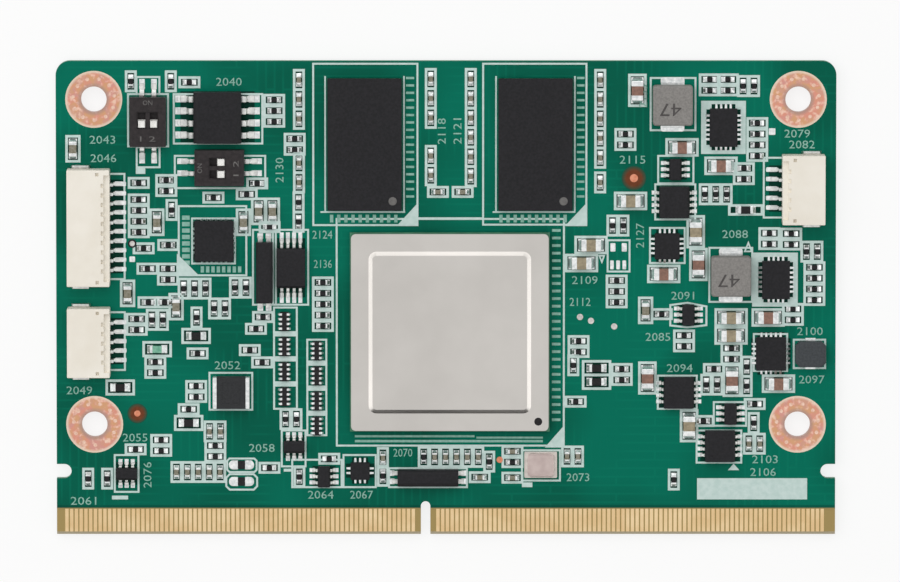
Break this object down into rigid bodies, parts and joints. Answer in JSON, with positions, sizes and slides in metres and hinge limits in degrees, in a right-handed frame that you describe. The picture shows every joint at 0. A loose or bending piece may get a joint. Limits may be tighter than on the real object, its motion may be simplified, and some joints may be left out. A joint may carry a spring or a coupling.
{
  "type": "system on module",
  "caption": "Flat computer module on a green board with a gold contact edge, a metal-lidded processor, memory chips, wire sockets and slide switches.",
  "frame": {"origin": "centre of the board's underside", "axes": "+X along the contact edge, -Y towards the contacts, +Z to the component side"},
  "size_m": [0.082, 0.05, 0.0041],
  "materials": {
    "solder_mask_board": "green solder mask, semi-gloss",
    "gold_contact": "gold plated, satin",
    "copper_ring": "plated copper, mottled",
    "chip_carrier": "dark green laminate",
    "silicon": "polished silicon",
    "nickel_lid": "satin nickel plating",
    "solder": "reflowed tin",
    "black_mould": "matt epoxy mould",
    "ivory_nylon": "moulded ivory nylon",
    "tinned_metal": "bright tin plating",
    "switch_plastic": "moulded black plastic",
    "white_slider": "moulded white plastic",
    "pale_ceramic": "fired ceramic",
    "crystal_lid": "plated lid, satin",
    "grey_ferrite": "pressed iron powder",
    "dark_ferrite": "sintered ferrite",
    "resistor_black": "glazed overcoat",
    "brown_ceramic": "fired dielectric"
  },
  "bodies": {
    "module": {"board": "solder_mask_board", "front_contacts": "gold_contact", "back_contacts": "gold_contact", "mount_hole_eyelets": "copper_ring", "processor_substrate": "chip_carrier", "memory_left_substrate": "chip_carrier", "memory_right_substrate": "chip_carrier", "processor_die": "silicon", "processor_lid": "nickel_lid", "processor_balls": "solder", "memory_left_balls": "solder", "memory_right_balls": "solder", "solder_pads": "solder", "memory_left_mould": "black_mould", "memory_right_mould": "black_mould", "flash_body": "black_mould", "eeprom_body": "black_mould", "interface_body": "black_mould", "regulator_bodies": "black_mould", "transistor_bodies": "black_mould", "small_logic_bodies": "black_mould", "crystal_bodies": "black_mould", "ten_way_housing": "ivory_nylon", "left_five_way_housing": "ivory_nylon", "right_five_way_housing": "ivory_nylon", "ten_way_pins": "tinned_metal", "ten_way_tabs": "tinned_metal", "left_five_way_pins": "tinned_metal", "left_five_way_tabs": "tinned_metal", "right_five_way_pins": "tinned_metal", "right_five_way_tabs": "tinned_metal", "upright_switch_leads": "tinned_metal", "turned_switch_leads": "tinned_metal", "flash_leads": "tinned_metal", "eeprom_leads": "tinned_metal", "interface_pads": "tinned_metal", "regulator_pads": "tinned_metal", "transistor_leads": "tinned_metal", "small_logic_leads": "tinned_metal", "crystal_leads": "tinned_metal", "inductor_terminals": "tinned_metal", "choke_terminals": "tinned_metal", "resistor_caps": "tinned_metal", "capacitor_caps": "tinned_metal", "array_terminals": "tinned_metal", "upright_switch_base": "switch_plastic", "upright_switch_cover": "switch_plastic", "turned_switch_base": "switch_plastic", "turned_switch_cover": "switch_plastic", "oscillator_base": "pale_ceramic", "oscillator_lid": "crystal_lid", "inductor_cores": "grey_ferrite", "choke_cores": "dark_ferrite", "resistor_bodies": "resistor_black", "array_bodies": "resistor_black", "capacitor_bodies": "brown_ceramic"},
    "upright_switch_slider_1": {"upright_switch_slider_1": "white_slider"},
    "upright_switch_slider_2": {"upright_switch_slider_2": "white_slider"},
    "turned_switch_slider_1": {"turned_switch_slider_1": "white_slider"},
    "turned_switch_slider_2": {"turned_switch_slider_2": "white_slider"}
  },
  "joints": [
    {"name": "upright_slide_1", "type": "slide", "parent": "module", "child": "upright_switch_slider_1", "axis": [0, 1, 0], "range_m": [0, 0.0008]},
    {"name": "upright_slide_2", "type": "slide", "parent": "module", "child": "upright_switch_slider_2", "axis": [0, 1, 0], "range_m": [0, 0.0008]},
    {"name": "turned_slide_1", "type": "slide", "parent": "module", "child": "turned_switch_slider_1", "axis": [-1, 0, 0], "range_m": [0, 0.0008]},
    {"name": "turned_slide_2", "type": "slide", "parent": "module", "child": "turned_switch_slider_2", "axis": [-1, 0, 0], "range_m": [0, 0.0008]}
  ]
}
